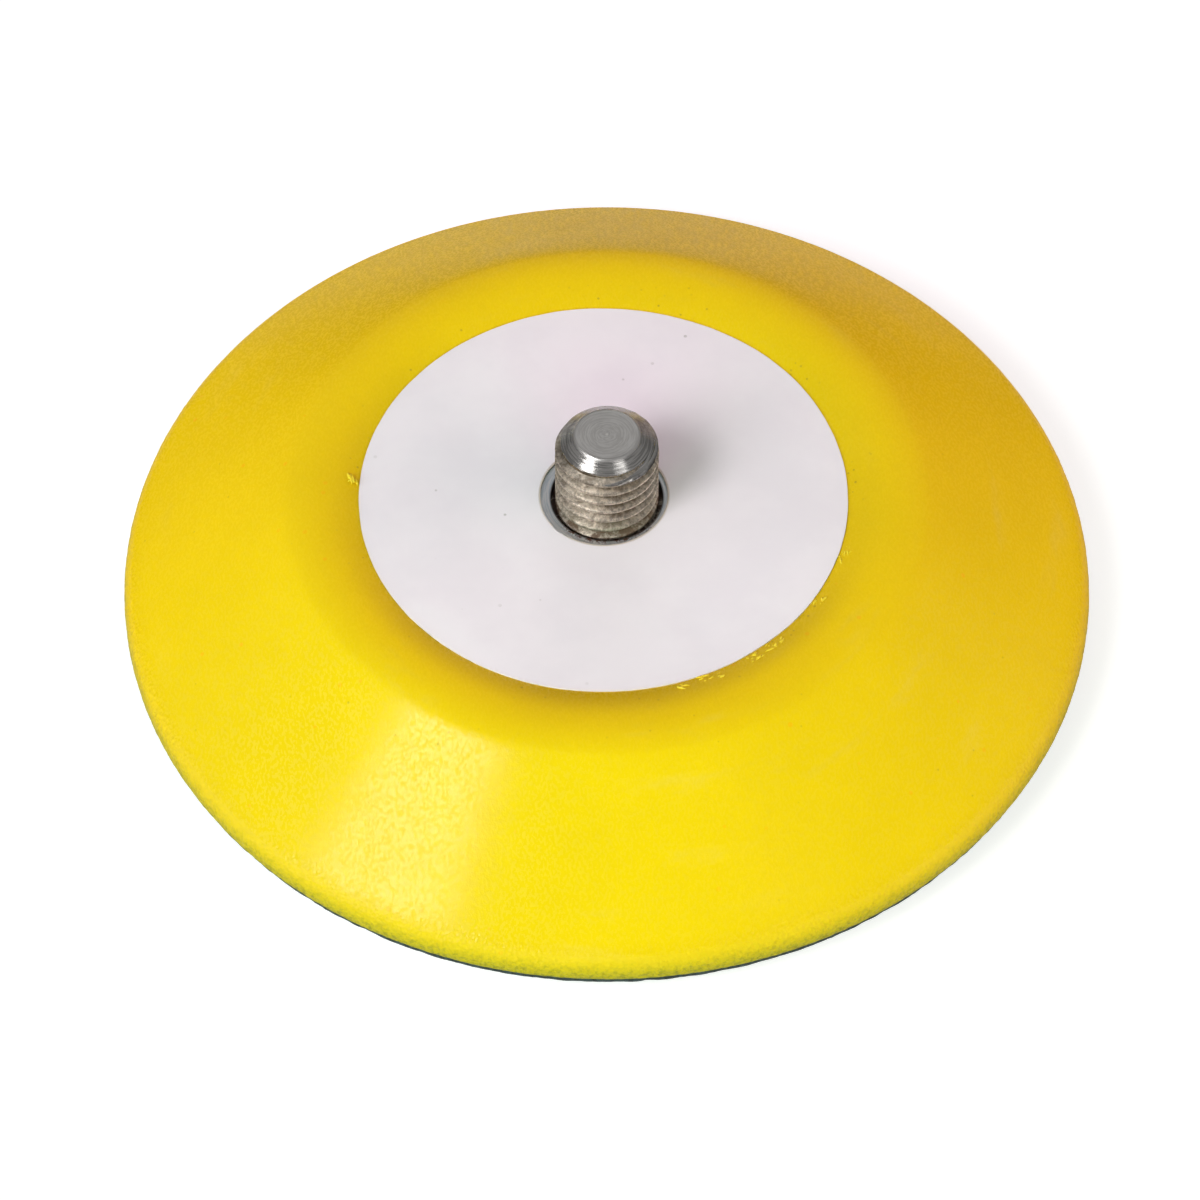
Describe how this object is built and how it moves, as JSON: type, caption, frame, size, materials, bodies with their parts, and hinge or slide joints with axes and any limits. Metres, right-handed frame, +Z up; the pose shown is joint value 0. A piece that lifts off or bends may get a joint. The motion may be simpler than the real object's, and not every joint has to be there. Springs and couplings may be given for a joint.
{
  "type": "backing pad",
  "caption": "Round hook-and-loop backing pad for a rotary polisher: bevelled yellow foam moulded round a riveted plate, with a threaded steel stud on top and a hook facing below.",
  "frame": {"origin": "on the stud's axis, in the plane of the hook tips that the pad rests on", "axes": "+Z up along the stud's axis, away from the hook facing; X and Y are any two directions across the round pad"},
  "size_m": [0.075, 0.075, 0.0202],
  "materials": {
    "foam": "satin moulded skin",
    "laminate": "matte woven glass fibre in resin",
    "stud_steel": "turned and worn",
    "zinc_steel": "zinc plated, brushed in rings",
    "rivet_steel": "satin",
    "label": "matte coated",
    "glue": "matte",
    "hook_cloth": "woven",
    "hook_nylon": "satin nylon"
  },
  "bodies": {
    "root": {"foam_pad": "foam", "backing_plate": "laminate", "threaded_stud": "stud_steel", "clamp_washer": "zinc_steel", "rivets": "rivet_steel", "label": "label", "facing_glue": "glue", "hook_cloth": "hook_cloth", "hooks": "hook_nylon"}
  },
  "joints": []
}
